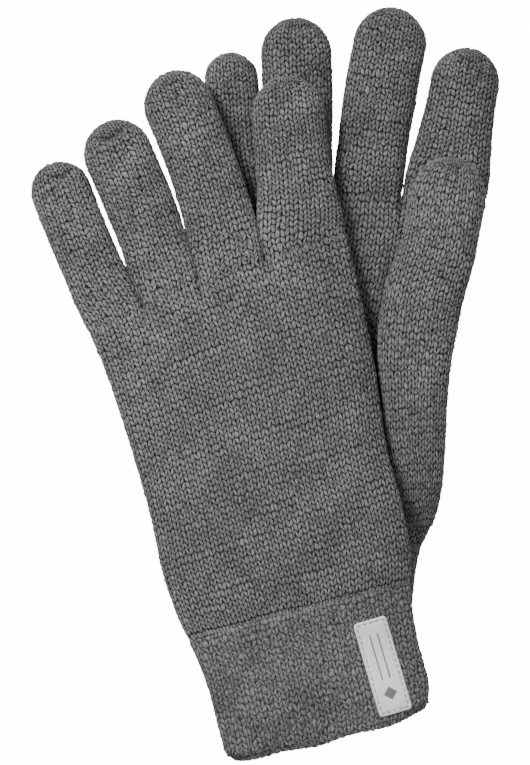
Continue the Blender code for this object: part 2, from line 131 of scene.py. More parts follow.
COURSE = 2.4  # height of a stitch on the palm
FINGER_WALE = 3.3  # width of a stitch on a finger
ROOT_EXTRA = 1.8  # how much blunter a finger is at its root than further on
ROOT_BLEND = 20.0  # over this length from its root a finger takes on its own round section
ROOT_DRAW = 0.9  # how far the hand's edge comes in to meet the little finger
ROOT_TURN = 14.0  # over this length a finger's courses turn from the root line to square
ROOT_READ = 180.0  # the hand's section is read here for the finger roots
ROOT_TUCK = 0.3  # how far a finger's first course is tucked into the hand
SLIMMING = 0.1  # a loose finger is this much narrower each side than its space
TOUCHING = 0.3  # near the crotch a finger bulges this much on each side
# How far a left finger bulges out further towards its neighbours, by distance from its root: the two press
# together and leave a dark crease
PRESSING = ((0, 0.05), (3, 0.4), (8, 0.56), (12, 0.74), (16, 0.64), (20, 0.42), (28, 0.2), (38, 0.0))
FINGER_COURSE = 2.15
CUFF_COURSE = 2.27
HAND_WALES = 70  # stitches round the hand
CUFF_WALES = 55
THUMB_WALES = 26
TUCKED_WALES = 18
LINING_WALES = 12
FINGER_LINING_WALES = 6
FACING_WALES = 48
LOOP_SLANT = 1.0  # courses that a loop's leg climbs from the middle of its wale to the side
LEG_LEAN = 0.7  # how far a leg leans over within its own half of the wale
SIDE_CURVE, END_CURVE = 2.0, 2.4  # how round a leg is across and at its ends
LEG_GAP, COURSE_GAP = 0.52, 0.26  # how deep the cloth dips between legs and between courses
UNEVEN = (0.08, 0.15)  # how far loops stray across and along, in wales and courses
PER_WALE = 6  # grid columns to a stitch
PER_COURSE = 4  # grid rows to a stitch
RELIEF = 0.62  # how far the yarn stands out of the gaps between its loops
PROUD = 0.16  # how much of that is outside the CAD's surface
WALL = 1.5  # thickness of the knit
HAND_START = 1.2  # the hand's first course is this far inside the cuff
HEM_ROLL = 3.2  # length of cloth rounded under at the cuff's hem
LINING_INSET = 2.1  # how far inside the CAD's surface a finger's or thumb's lining lies
HAND_LINING_INSET = 2.05
LINING_WALL = 1.2  # thickness of the fleece and of the cuff facing
TIP_ARC = 0.97  # a tip's last row stops this far round its quarter circle
TIP_FULLNESS = 0.6  # below 1, a tip keeps its height longer than its width

# ------------------------------------------------------------ small maths


def smooth(x, low=0.0, high=1.0):
    """A smooth step from 0 at low to 1 at high."""
    t = np.clip((np.asarray(x, float) - low) / (high - low), 0, 1)
    return t * t * (3 - 2 * t)


def ripple(points, size, seed):
    """A soft random field of about -1 to 1 over points, with waves of about this size."""
    rng = np.random.default_rng(seed)
    total = np.zeros(points.shape[:-1])
    for _ in range(7):
        way = rng.normal(size=points.shape[-1])
        way *= TAU / (size * rng.uniform(0.7, 1.5)) / np.linalg.norm(way)
        total += np.sin(points @ way + rng.uniform(0, TAU))
    return total / 3.0


def read(table, x, column):
    """A column of a table at x, along a curve through its rows."""
    table = np.array(table, float)
    return curve_through(table[:, 0], table[:, column], x)


def curve_through(xs, ys, x):
    """A smooth curve that passes through points and doesn't swing past them."""
    xs, ys, x = np.asarray(xs, float), np.asarray(ys, float), np.asarray(x, float)
    steps = np.diff(ys) / np.diff(xs)
    slopes = np.concatenate([steps[:1], (steps[:-1] + steps[1:]) / 2, steps[-1:]])
    flat = steps[:-1] * steps[1:] <= 0
    slopes[1:-1][flat] = 0
    i = np.clip(np.searchsorted(xs, x) - 1, 0, len(steps) - 1)
    gap = xs[i + 1] - xs[i]
    t = np.clip((x - xs[i]) / gap, 0, 1)
    low = (1 + 2 * t) * (1 - t) ** 2 * ys[i] + t * (1 - t) ** 2 * gap * slopes[i]
    return low + t * t * (3 - 2 * t) * ys[i + 1] + t * t * (t - 1) * gap * slopes[i + 1]


# ------------------------------------------------------------ plan of the gloves


def placed(place, across, along):
    """Plan points of a glove in the shared frame."""
    x, y, turn, _ = place
    c, s = math.cos(math.radians(turn)), math.sin(math.radians(turn))
    across, along = np.asarray(across, float), np.asarray(along, float)
    return np.stack([x + across * c - along * s, y + across * s + along * c], -1)


def plan_of(place, xy):
    """Across and along of plan points in the shared frame."""
    x, y, turn, _ = place
    c, s = math.cos(math.radians(turn)), math.sin(math.radians(turn))
    dx, dy = xy[..., 0] - x, xy[..., 1] - y
    return dx * c + dy * s, -dx * s + dy * c


def root_along(across):
    """Where the finger roots lie along the hand."""
    return np.interp(across, [r[0] for r in ROOT_LINE], [r[1] for r in ROOT_LINE])


def finger_line(place, fingers, name, distance):
    """Centres and headings at distances along a finger."""
    length, _, root_lean, tip_lean = fingers[name]
    i = FINGERS.index(name)
    (a0, s0), (a1, s1) = ROOT_LINE[i], ROOT_LINE[i + 1]
    step = 0.25
    fine = np.arange(0, length + 2 * step, step)
    lean = np.radians(place[2] + root_lean + (tip_lean - root_lean) * np.minimum(fine, length) / length)
    heading = np.stack([-np.sin(lean), np.cos(lean)], -1)
    start = placed(place, (a0 + a1) / 2, (s0 + s1) / 2)
    moves = (heading[1:] + heading[:-1]) / 2 * step
    centre = start + np.concatenate([np.zeros((1, 2)), np.cumsum(moves, 0)])
    distance = np.asarray(distance, float)
    before = np.minimum(distance, 0)[..., None]
    out = [np.stack([np.interp(distance, fine, v[:, k]) for k in (0, 1)], -1) for v in (centre, heading)]
    return out[0] + before * out[1], out[1]


def to_line(xy, points):
    """Plan distance from points to a run of straight pieces."""
    best = np.full(xy.shape[:-1], 1e9)
    for a, b in zip(points, points[1:]):
        run = b - a
        t = np.clip(((xy - a) @ run) / (run @ run), 0, 1)
        best = np.minimum(best, np.linalg.norm(xy - a - t[..., None] * run, axis=-1))
    return best


def support_line(name):
    """The middle line of a right finger that holds the left glove up, and its half width."""
    length, width, _, _ = RIGHT_FINGERS[name]
    points, _ = finger_line(RIGHT_PLACE, RIGHT_FINGERS, name, [0, length / 2, length - width / 2])
    return points, width / 2


RIGHT_LINES = [support_line(name) for name in FINGERS]
TUCKED_LINE = [placed(LEFT_PLACE, *TUCKED_ROOT), placed(LEFT_PLACE, *TUCKED_TIP)]


def sinking(outside, reach):
    """Share of its height that cloth keeps this far outside what holds it up."""
    return 0.5 + 0.5 * np.cos(math.pi * np.minimum(outside / reach, 1.0))


def support(xy):
    """Height of what the left glove lies on: the right glove, and its own tucked thumb."""
    across, along = plan_of(RIGHT_PLACE, xy)
    outline = np.array(RIGHT_OUTLINE)
    level = np.clip(along, 0, outline[-1, 0])
    left, right = (np.interp(level, outline[:, 0], outline[:, k]) for k in (1, 2))
    side = np.maximum(np.maximum(left - across, across - right), 0)
    end = np.maximum(np.maximum(-along, along - root_along(across)), 0)
    outside = np.hypot(side, end)
    for line, half in RIGHT_LINES:
        outside = np.minimum(outside, np.maximum(to_line(xy, line) - half, 0))
    on_right = (THICKNESS + STACK_GAP) * sinking(outside, OVERHANG_REACH)
    outside_thumb = np.maximum(to_line(xy, TUCKED_LINE) - TUCKED_HALF, 0)
    return on_right + (PRESSED_THUMB + STACK_GAP) * sinking(outside_thumb, TUCK_REACH)


# ------------------------------------------------------------ knitted tubes


def section(half_width, half_height, count, bluntness, reshape=None, start=0.0):
    """A rounded flat section as x and z from its centre, its points spread evenly by length."""
    turn = np.linspace(0, TAU, 721) + start
    x = half_width * np.sign(np.cos(turn)) * np.abs(np.cos(turn)) ** (2 / bluntness)
    z = half_height * np.sign(np.sin(turn)) * np.abs(np.sin(turn)) ** (2 / bluntness)
    if reshape is not None:
        z = reshape(x, z)
    length = np.concatenate([[0], np.cumsum(np.hypot(np.diff(x), np.diff(z)))])
    want = np.linspace(0, length[-1], count, endpoint=False)
    return np.interp(want, length, x), np.interp(want, length, z)


def grid_normals(points):
    """Unit normals of a grid that is closed around its columns, turned outwards."""
    du = np.roll(points, -1, 1) - np.roll(points, 1, 1)
    dv = np.gradient(points, axis=0)
    normal = np.cross(du, dv)
    normal /= np.maximum(np.linalg.norm(normal, axis=-1, keepdims=True), 1e-9)
    if np.sum((points - points.mean(axis=1, keepdims=True)) * normal) < 0:
        normal = -normal
    return normal


def along_rows(grid, rows):
    """Reads a grid at fractional rows, one per column and row, and runs straight on past its ends."""
    low = np.clip(np.floor(rows).astype(int), 0, len(grid) - 2)
    share = (rows - low)[..., None]
    columns = np.broadcast_to(np.arange(grid.shape[1]), rows.shape)
    return grid[low, columns] * (1 - share) + grid[low + 1, columns] * share


def loop_body(leg, course, lean):
    """Height of the yarn, 0 to 1, at a place across a leg and along its course, each from 0 to 1."""
    w = 2 * course - 1
    u = 2 * leg - 1 + lean * LEG_LEAN * w * (1 - np.abs(2 * leg - 1))
    side = np.abs(u) ** SIDE_CURVE
    end = np.abs(w) ** END_CURVE
    return 1 - np.clip(side * (LEG_GAP + (1 - LEG_GAP) * end) + COURSE_GAP * end * (1 - side), 0, 1)


def knit_mesh(name, base, wales, closed_tip=False, seed=0, loose=1.0, relief=RELIEF,
              joined=(False, False)):
    """A knitted tube over a base grid of rows and columns of points, in millimetres.

    The outside carries every loop of the yarn. The inside is a plain wall, joined to it at the ends. An end
    that is joined to more knitting keeps its zigzag of slanted loops, and the others are straightened.
    """
    rows, columns = base.shape[:2]
    courses = (rows - 1) / PER_COURSE
    normal = grid_normals(base)
    a = np.arange(columns) / PER_WALE
    b = np.arange(rows) / PER_COURSE
    in_wale = a % 1.0
    slant = LOOP_SLANT * np.abs(in_wale - 0.5) * 2
    fade = np.ones(rows)
    if not joined[0]:
        fade = fade * smooth(b, 0, 1.5)
    if not joined[1]:
        fade = fade * (1 - smooth(b, courses - 1.5, courses))
    lattice = np.stack(np.meshgrid(a, b), -1)
    waver = ripple(lattice, 9.0, seed + 1) * 0.2 * loose
    shift = (slant[None, :] - 0.5) * fade[:, None] - waver * fade[:, None]
    at_rows = np.arange(rows)[:, None] - shift * PER_COURSE
    points = along_rows(base, at_rows)
    out = along_rows(normal, at_rows)
    out /= np.maximum(np.linalg.norm(out, axis=-1, keepdims=True), 1e-9)

    # loops stray a little from their even lattice, the same in the relief and in the stitch map
    stray_across = ripple(base, 5.0, seed + 2) * UNEVEN[0] * loose
    stray_along = ripple(base, 4.0, seed + 3) * UNEVEN[1] * loose * fade[:, None]
    a_at = a[None] + stray_across
    b_at = b[:, None] + stray_along
    loops = np.random.default_rng(seed).normal(size=(int(courses) + 3, 2 * wales))
    leg_number = np.floor(2 * a_at).astype(int) % (2 * wales)
    course_number = np.clip(np.floor(b_at).astype(int), 0, int(courses) + 2)
    body = loop_body((2 * a_at) % 1.0, b_at % 1.0, np.where(a_at % 1.0 < 0.5, 1, -1))
    height = (body * (1 + 0.16 * loops[course_number, leg_number]) - 1) * relief + PROUD
    points = points + out * height[..., None]

    inner_rows = np.unique(np.linspace(0, rows - 1, 6).astype(int))[::-1]
    inner = base[inner_rows] - normal[inner_rows] * WALL
    pole_out, pole_in = points[-1].mean(axis=0), inner[0].mean(axis=0)
    count_in = len(inner_rows)
    verts = np.concatenate([points.reshape(-1, 3), inner.reshape(-1, 3)])
    i = np.arange(columns)
    j = (i + 1) % columns
    total = rows + count_in
    ring = np.arange(total)[:, None] * columns
    along_all = np.concatenate([b, np.interp(inner_rows, np.arange(rows), b)])
    steps = [(r, r + 1) for r in range(total - 1) if not (closed_tip and r == rows - 1)]
    steps.append((total - 1, 0))
    low = np.array([s[0] for s in steps])
    high = np.array([s[1] for s in steps])
    quads = np.stack([
        ring[low] + i[None], ring[low] + j[None], ring[high] + j[None], ring[high] + i[None]
    ], -1).reshape(-1, 4)
    a_grid = np.broadcast_to(a[None], (total, columns)).copy()
    a_grid[:rows] += stray_across
    b_grid = np.broadcast_to(along_all[:, None], (total, columns)).copy()
    b_grid[:rows] += stray_along - (slant[None] - 0.5)
    around = np.where(j == 0, wales, 0)[None]  # the last column joins the first, one round further on
    uv = np.stack([
        np.stack([a_grid[low], b_grid[low]], -1),
        np.stack([a_grid[low][:, j] + around, b_grid[low][:, j]], -1),
        np.stack([a_grid[high][:, j] + around, b_grid[high][:, j]], -1),
        np.stack([a_grid[high], b_grid[high]], -1)
    ], 2).reshape(-1, 2)
    tris = np.zeros((0, 3), int)
    tri_uv = np.zeros((0, 2))
    if closed_tip:
        verts = np.concatenate([verts, [pole_out, pole_in]])
        outer, inner_ring = ring[rows - 1, 0], ring[rows, 0]
        top, bottom = len(verts) - 2, len(verts) - 1
        tris = np.concatenate([
            np.stack([outer + i, outer + j, np.full(columns, top)], -1),
            np.stack([inner_ring + j, inner_ring + i, np.full(columns, bottom)], -1),
        ])
        corner = np.stack([a, np.full(columns, b[-1])], -1)
        tri_uv = np.concatenate([np.stack([corner, corner + [1 / PER_WALE, 0], corner + [0, 0.3]], 1)] * 2)
        tri_uv = tri_uv.reshape(-1, 2)
    return make_mesh(name, verts, quads, tris, np.concatenate([uv, tri_uv]))


def make_mesh(name, verts, quads, tris, uv):
    """A smooth mesh object from arrays in millimetres, its faces turned outwards."""
    mesh = bpy.data.meshes.new(name)
    sizes = np.concatenate([np.full(len(quads), 4), np.full(len(tris), 3)]).astype(np.int32)
    loops = np.concatenate([quads.reshape(-1), tris.reshape(-1)]).astype(np.int32)
    mesh.vertices.add(len(verts))
    mesh.vertices.foreach_set("co", (verts * MM).astype(np.float32).reshape(-1))
    mesh.loops.add(len(loops))
    mesh.loops.foreach_set("vertex_index", loops)
    mesh.polygons.add(len(sizes))
    starts = np.concatenate([[0], np.cumsum(sizes)[:-1]]).astype(np.int32)
    mesh.polygons.foreach_set("loop_start", starts)
    mesh.update(calc_edges=True)
    if uv is not None:
        layer = mesh.uv_layers.new(name="stitches")
        layer.data.foreach_set("uv", uv.astype(np.float32).reshape(-1))
    if signed_volume(verts, quads, tris) < 0:
        mesh.flip_normals()
    mesh.shade_smooth()
    thing = bpy.data.objects.new(name, mesh)
    bpy.context.scene.collection.objects.link(thing)
    return thing


def signed_volume(verts, quads, tris):
    total = 0.0
    for corners in ((quads[:, 0], quads[:, 1], quads[:, 2]), (quads[:, 0], quads[:, 2], quads[:, 3]),
                    (tris[:, 0], tris[:, 1], tris[:, 2])):
        p, q, r = (verts[c] for c in corners)
        total += np.einsum("ij,ij->i", p, np.cross(q, r)).sum()
    return total


# ------------------------------------------------------------ hands and cuffs


def lobes(across, nearness=1.0, least=0.3):
    """Height share across the finger roots: 1 over each finger, dipping in the crotches between them."""
    edges = np.array([r[0] for r in ROOT_LINE])
    i = np.clip(np.searchsorted(edges, across) - 1, 0, len(edges) - 2)
    middle, half = (edges[i] + edges[i + 1]) / 2, (edges[i + 1] - edges[i]) / 2
    outer = ((i == 0) & (across < middle)) | ((i == len(edges) - 2) & (across > middle))
    blunt = ROOT_BLUNTNESS + 60 * (1 - nearness) ** 2
    share = (1 - np.minimum(np.abs(across - middle) / half, 1) ** blunt) ** (1 / blunt)
    return np.where(outer, 1.0, np.maximum(share, least))


def hand_height(place, across, along):
    """A hand's half height at places across it, as a share of its fullest."""
    left, right = float(read(place[3], along, 1)), float(read(place[3], along, 2))
    off = np.minimum(np.abs(across - (left + right) / 2) / ((right - left) / 2), 1.0)
    return (1 - off**BLUNTNESS) ** (1 / BLUNTNESS)


def hand_base(place, levels, wales, draped, inset=0.0, roots=False):
    """Base grid of a hand or cuff.

    Levels are each row's distance along it and how far that row is drawn in.
    """
    columns = wales * PER_WALE
    along, pull = levels
    rows = len(along)
    left = read(place[3], along, 1) + inset
    right = read(place[3], along, 2) - inset
    if roots:
        left = left + ROOT_DRAW * smooth(along, 150, HAND_TOP)
    grid = np.zeros((rows, columns, 3))
    for r in range(rows):
        near_root = float(smooth(along[r], 168, HAND_TOP - 1)) if roots else 0.0
        half_height = THICKNESS / 2 - inset - pull[r]
        x, z = section((right[r] - left[r]) / 2 - pull[r] * 0.7, half_height, columns, BLUNTNESS)
        across = (left[r] + right[r]) / 2 + x
        if near_root > 0:
            z = z * lobes(across, near_root)
        forward = np.full(columns, along[r])
        if roots:
            share = (along[r] - CUFF_TOP) / (HAND_TOP - CUFF_TOP)
            forward = CUFF_TOP + (root_along(across) - CUFF_TOP) * share
        xy = placed(place, across, forward)
        grid[r, :, :2] = xy
        grid[r, :, 2] = THICKNESS / 2 + z + (support(xy) if draped else 0)
    return grid


def courses_between(length, course):
    """Number of grid rows for a stretch of knitting."""
    return int(round(length / course)) * PER_COURSE + 1


def hand_piece(side, place, draped, seed):
    """The palm and back, drawn in where they meet the cuff and the fingers."""
    rows = courses_between(HAND_TOP - CUFF_TOP + HAND_START, COURSE)
    along = np.linspace(CUFF_TOP - HAND_START, HAND_TOP, rows)
    pull = 0.6 * (1 - smooth(along, CUFF_TOP - HAND_START, CUFF_TOP + 3.0))
    pull = pull + 0.2 * smooth(along, HAND_TOP - 1, HAND_TOP)
    base = hand_base(place, (along, pull), HAND_WALES, draped, roots=True)
    base[..., 2] += 0.35 * ripple(base, 24.0, seed + 5) * smooth(base[..., 2], 4, 12)
    return knit_mesh(f"{side}_hand_knit", base, HAND_WALES, seed=seed, joined=(False, True))


def cuff_piece(side, place, draped, seed):
    """The cuff, rounded under at its hem and drawn in a little where the hand starts."""
    rows = courses_between(CUFF_TOP + HEM_ROLL, CUFF_COURSE)
    run = np.linspace(-HEM_ROLL, CUFF_TOP, rows)
    roll = np.clip(-run / HEM_ROLL, 0, 1)
    along = np.where(run < 0, 1.2 * (1 - np.cos(roll * math.pi)), run)
    pull = 1.5 * smooth(-run, -2.0, HEM_ROLL) + 0.5 * smooth(run, CUFF_TOP - 3.0, CUFF_TOP)
    base = hand_base(place, (along, pull), CUFF_WALES, draped)
    across, forward = plan_of(place, base[..., :2])
    hem = 1 - smooth(forward, 0, 26)
    drop = -1.3 * (1 - (across / 38) ** 2) + 2.2 * np.minimum(np.abs(across) / 41, 1) ** 7
    drop += 0.5 * np.sin(across * 0.23 + seed) * hem
    base[..., :2] = placed(place, across, forward + drop * hem)
    base[..., 2] += 0.45 * ripple(base, 19.0, seed + 5) * smooth(base[..., 2], 4, 12)
    return knit_mesh(f"{side}_cuff_knit", base, CUFF_WALES, seed=seed, loose=1.5)


def facing_piece(side, place, draped):
    """The turned-in knit that doubles the cuff from inside."""
    along = np.linspace(1.6, FACING_TOP, courses_between(FACING_TOP, CUFF_COURSE))
    levels = along, np.zeros(len(along))
    base = hand_base(place, levels, FACING_WALES, draped, inset=HAND_LINING_INSET)
    return inside_tube(f"{side}_cuff_facing_knit", base, LINING_WALL)


def hand_lining(side, place, draped):
    """The fleece inside the hand, from above the facing to the finger roots."""
    along = np.linspace(FACING_TOP + 0.4, HAND_TOP - 1.4, 30)
    levels = along, np.zeros(len(along))
    base = hand_base(place, levels, LINING_WALES, draped, inset=HAND_LINING_INSET, roots=True)
    return inside_tube(f"{side}_hand_fleece", base, LINING_WALL)


def inside_tube(name, base, wall, tip=False):
    """A plain cloth tube, one wall thick, of a few rows: a lining or a facing."""
    normal = grid_normals(base)
    rows, columns = base.shape[:2]
    inner = (base - normal * wall)[::-1]
    verts = np.concatenate([base.reshape(-1, 3), inner.reshape(-1, 3)])
    i = np.arange(columns)
    j = (i + 1) % columns
    total = 2 * rows
    ring = np.arange(total)[:, None] * columns
    steps = [(r, r + 1) for r in range(total - 1) if not (tip and r == rows - 1)] + [(total - 1, 0)]
    low, high = np.array(steps).T
    quads = np.stack([ring[low] + i, ring[low] + j, ring[high] + j, ring[high] + i], -1).reshape(-1, 4)
    tris = np.zeros((0, 3), int)
    if tip:
        verts = np.concatenate([verts, [base[-1].mean(axis=0), inner[0].mean(axis=0)]])
        outer, inner_ring = ring[rows - 1, 0], ring[rows, 0]
        tris = np.concatenate([
            np.stack([outer + i, outer + j, np.full(columns, len(verts) - 2)], -1),
            np.stack([inner_ring + j, inner_ring + i, np.full(columns, len(verts) - 1)], -1),
        ])
    a = np.broadcast_to(i / PER_WALE, (len(low), columns))
    b = np.concatenate([np.arange(rows), np.arange(rows)[::-1]]) / PER_COURSE
    step = 1 / PER_WALE
    uv = np.stack([
        np.stack([a, np.broadcast_to(b[low][:, None], a.shape)], -1),
        np.stack([a + step, np.broadcast_to(b[low][:, None], a.shape)], -1),
        np.stack([a + step, np.broadcast_to(b[high][:, None], a.shape)], -1),
        np.stack([a, np.broadcast_to(b[high][:, None], a.shape)], -1),
    ], 2).reshape(-1, 2)
    return make_mesh(name, verts, quads, tris, np.concatenate([uv, np.zeros((len(tris) * 3, 2))]))


# ------------------------------------------------------------ fingers


def tube_to_tip(length, width, start, course, inset=0.0, min_rows=0):
    """Rows from a start to a rounded tip.

    Gives each row's distance, its shares of the full width and height, and its way over the cloth to the tip.
    """
    round_from = length - width / 2
    reach = width / 2
    arc = reach * math.pi / 2
    rows = min_rows or courses_between(round_from - start + arc, course)
    run = np.linspace(start, round_from + arc * TIP_ARC, rows)
    turn = np.clip((run - round_from) / reach, 0, math.pi / 2)
    distance = np.where(run < round_from, run, round_from + reach * np.sin(turn))
    tall = np.maximum(np.cos(turn), 0.0) ** TIP_FULLNESS
    return distance, np.cos(turn), tall, arc + round_from - run


def drawn_in(x, z, half, share, high, blunt):
    """Narrows a section to a share of its width: the middle wales run on, the outer ones crowd together."""
    reach = x / (half * share)
    edge = 1 / share
    bend = 6.0
    kept = reach / (1 + np.abs(reach) ** bend) ** (1 / bend) * (1 + edge**bend) ** (1 / bend) / edge
    blend = float(smooth(1 - share, 0.0, 0.16)) * 0.75
    part = np.clip(reach / edge * (1 - blend) + kept * blend, -1, 1)
    level = high * (1 - np.abs(part) ** blunt) ** (1 / blunt)
    return part * half * share, np.where(z >= 0, level, -level)


def finger_base(place, fingers, name, wales, draped, rows_from=-1.0, inset=0.0, rows=0):
    """Base grid of a finger from its root to its tip."""
    length, width, _, _ = fingers[name]
    distance, wide, tall, to_tip = tube_to_tip(length - inset, width - 2 * inset, rows_from,
                                               FINGER_COURSE, min_rows=rows)
    centre, heading = finger_line(place, fingers, name, distance)
    i = FINGERS.index(name)
    ends = placed(place, *np.array([ROOT_LINE[i], ROOT_LINE[i + 1]]).T)
    root_run = ends[1] - ends[0]
    root_half = np.linalg.norm(root_run) / 2 - 0.25
    square = np.stack([heading[:, 1], -heading[:, 0]], -1)
    towards = np.clip(distance / ROOT_TURN, 0, 1)[:, None]
    side = root_run / np.linalg.norm(root_run) * (1 - towards) + square * towards
    side /= np.linalg.norm(side, axis=-1, keepdims=True)
    full = root_half + (width / 2 - root_half) * smooth(distance, 0, SPREAD_REACH)
    half = full - inset - SLIMMING * smooth(distance, 14, 30)
    tuck = np.zeros(len(distance))
    pressing = np.zeros(len(distance))
    if not inset:
        half = half + TOUCHING * smooth(distance, 1, 5) * (1 - smooth(distance, 12, 20))
        tuck = ROOT_TUCK * (1 - smooth(distance, rows_from, 0.4))
        if draped:
            pressing = read(PRESSING, distance, 1)
    neighbours = name != "little", name != "index"
    from_mid = ROOT_LINE[i][0], ROOT_LINE[i + 1][0]
    columns = wales * PER_WALE
    grid = np.zeros((len(distance), columns, 3))
    for r in range(len(distance)):
        own = float(smooth(distance[r], 0, ROOT_BLEND))
        blunt = ROOT_BLUNTNESS - ROOT_EXTRA * own
        high = (THICKNESS / 2 - inset) * tall[r] - tuck[r]

        def like_hand(x, z, own=own, wide=half[r], high=high):
            """Near its root a finger has the height that the hand has there."""
            across = from_mid[0] + (from_mid[1] - from_mid[0]) * (x / wide + 1) / 2
            at_root = hand_height(place, across, ROOT_READ) * lobes(across, least=0.0)
            return z * own + np.sign(z) * high * at_root * (1 - own)

        x, z = section(half[r] - tuck[r], high, columns, blunt, like_hand, -math.pi / 2)
        if wide[r] < 1:
            x, z = drawn_in(x, z, half[r], wide[r], high, blunt)
        reach = x / half[r]
        x = x + pressing[r] * reach * np.where(reach < 0, neighbours[0], neighbours[1]) * np.abs(reach)
        xy = centre[r] + side[r] * x[:, None]
        grid[r, :, :2] = xy
        grid[r, :, 2] = THICKNESS / 2 + z + (support(xy) if draped else 0)
    return grid, to_tip


# The fold across the back of each tip: distance from the tip over the cloth, turn off the middle,
# length as a turn, and depth. Then how deep the wales pinch together behind it.
TIP_FOLDS = {
    "left_little": (12.5, -0.2, 0.55, 2.4, 0.6),
    "left_ring": (13.5, 0.0, 0.78, 2.6, 0.5),
    "left_middle": (12.0, -0.1, 0.35, 1.1, 2.0),
    "left_index": (9.0, -0.1, 0.8, 1.9, 1.2),
    "right_little": (12.0, 0.2, 0.4, 1.0, 0.7),
    "right_ring": (10.5, -0.2, 0.6, 1.4, 0.9),
    "right_middle": (10.0, 0.2, 0.5, 1.0, 0.8),
    "right_index": (11.5, -0.1, 0.7, 1.5, 0.8),
    "right_thumb": (11.0, 0.1, 0.6, 1.5, 0.9),
}
FOLD_BOW = 7.0  # how strongly a fold curves away from the tip at its ends
FOLD_WIDTH = 1.15
SHOULDER_BACK, SHOULDER_WIDTH, SHOULDER_SHARE = 3.2, 2.6, 0.35  # of the cloth heaped up behind a fold
PUCKER_WAVES = (3, 5, 8)  # round the tip
PUCKER_HEIGHT = 0.35
PINCH_TURNS = (-0.42, -0.05, 0.33)  # where the pinched wales lie, as turns off the middle
PINCH_WIDTH = 0.09


def gather(base, to_tip, name, seed):
    """Puckers and folds the knit where it is drawn together at a tip."""
    rng = np.random.default_rng(seed)
    turn = np.linspace(0, TAU, base.shape[1], endpoint=False)[None]
    near = (1 - smooth(to_tip, 2.0, 12.0))[:, None]
    puckers = sum(np.sin(k * turn + rng.uniform(0, TAU)) for k in PUCKER_WAVES) / len(PUCKER_WAVES)
    normal = grid_normals(base)
    far, aside, length, depth, pinch = TIP_FOLDS[name]
    off = turn - math.pi - aside
    bow = to_tip[:, None] - far + FOLD_BOW * off**2 * (1 + 0.5 * np.sin(3 * off))
    fold = np.exp(-((bow / FOLD_WIDTH) ** 2)) * np.exp(-((off / length) ** 4))
    behind_fold = np.exp(-(((bow - SHOULDER_BACK) / SHOULDER_WIDTH) ** 2))
    shoulder = behind_fold * np.exp(-((off / (length * 1.3)) ** 2))
    pinched_at = np.array(PINCH_TURNS) + rng.uniform(-0.08, 0.08, len(PINCH_TURNS))
    pinched = sum(np.exp(-(((off - at) / PINCH_WIDTH) ** 2)) for at in pinched_at)
    behind = (smooth(to_tip, far - 4, far + 1) * (1 - smooth(to_tip, far + 4, far + 15)))[:, None]
    height = PUCKER_HEIGHT * puckers * near - depth * fold + SHOULDER_SHARE * depth * shoulder
    height = height - pinch * pinched * behind
    return base + normal * height[..., None]


def finger_piece(side, place, fingers, name, draped, seed):
    """A finger's knit, with as many wales as go round it."""
    girth = 1.86 * fingers[name][1] + 1.7 * THICKNESS
    wales = int(round(girth / FINGER_WALE))
    base, to_tip = finger_base(place, fingers, name, wales, draped)
    base = gather(base, to_tip, f"{side}_{name}", seed)
    lift = 0.4 * ripple(base, 17.0, seed + 9) * smooth(base[..., 2] - base[..., 2].min(), 4, 12)
    base[..., 2] += lift
    return knit_mesh(f"{side}_{name}_finger_knit", base, wales, closed_tip=True, seed=seed, loose=1.3,
                     joined=(True, False))


def finger_lining(side, place, fingers, name, draped):
    base, _ = finger_base(place, fingers, name, FINGER_LINING_WALES, draped, rows_from=0.3,
                          inset=LINING_INSET, rows=16)
    return inside_tube(f"{side}_{name}_finger_fleece", base, LINING_WALL, tip=True)


# ------------------------------------------------------------ thumbs


def thumb_base(wales, inset=0.0, rows=0):
    """Base grid of the right thumb, from where it sinks into the palm to its tip."""
    route = np.array(THUMB_ROUTE)
    gaps = np.linalg.norm(np.diff(route[:, :2], axis=0), axis=1)
    places = np.concatenate([[0], np.cumsum(gaps)])
    straight = places[-1]
    tip = THUMB_ROUTE[-1][2] - inset
    arc = tip * math.pi / 2
    rows = rows or courses_between(straight + arc, COURSE)
    run = np.linspace(0, straight + arc * TIP_ARC, rows)
    turn = np.clip((run - straight) / tip, 0, math.pi / 2)
    at = np.minimum(run, straight)
    x, y, half, tall = (curve_through(places, route[:, k], at) for k in range(4))
    ahead = np.stack([np.gradient(x, edge_order=1), np.gradient(y, edge_order=1)], -1)
    stopped = np.linalg.norm(ahead, axis=-1) < 1e-6
    ahead[stopped | (run > straight - 2)] = ahead[~stopped][-3]
    heading = ahead / np.linalg.norm(ahead, axis=-1, keepdims=True)
    reach = (tip * np.sin(turn))[:, None]
    centre = np.stack([x, y], -1) + heading * reach
    side = np.stack([heading[:, 1], -heading[:, 0]], -1)
    columns = wales * PER_WALE
    grid = np.zeros((rows, columns, 3))
    bottom = THICKNESS + STACK_GAP
    sunk = 1 - smooth(run, 0, THUMB_RISE)
    for r in range(rows):
        wide, high = math.cos(turn[r]), max(math.cos(turn[r]), 0.0) ** TIP_FULLNESS
        x_off, z_off = section((half[r] - inset) * wide, (tall[r] - inset) * high, columns,
                               THUMB_BLUNTNESS, start=-math.pi / 2)
        grid[r, :, :2] = centre[r] + side[r] * x_off[:, None]
        middle = bottom + tall[r] - THUMB_SINK * sunk[r]
        grid[r, :, 2] = middle + z_off
    return grid, straight + arc - run


def right_thumb_pieces(seed):
    """The right thumb's knit and its lining."""
    base, to_tip = thumb_base(THUMB_WALES)
    base = gather(base, to_tip, "right_thumb", seed)
    shell = knit_mesh("right_thumb_knit", base, THUMB_WALES, closed_tip=True, seed=seed, loose=1.2)
    base, _ = thumb_base(FINGER_LINING_WALES, inset=LINING_INSET, rows=26)
    return shell, inside_tube("right_thumb_fleece", base, LINING_WALL, tip=True)


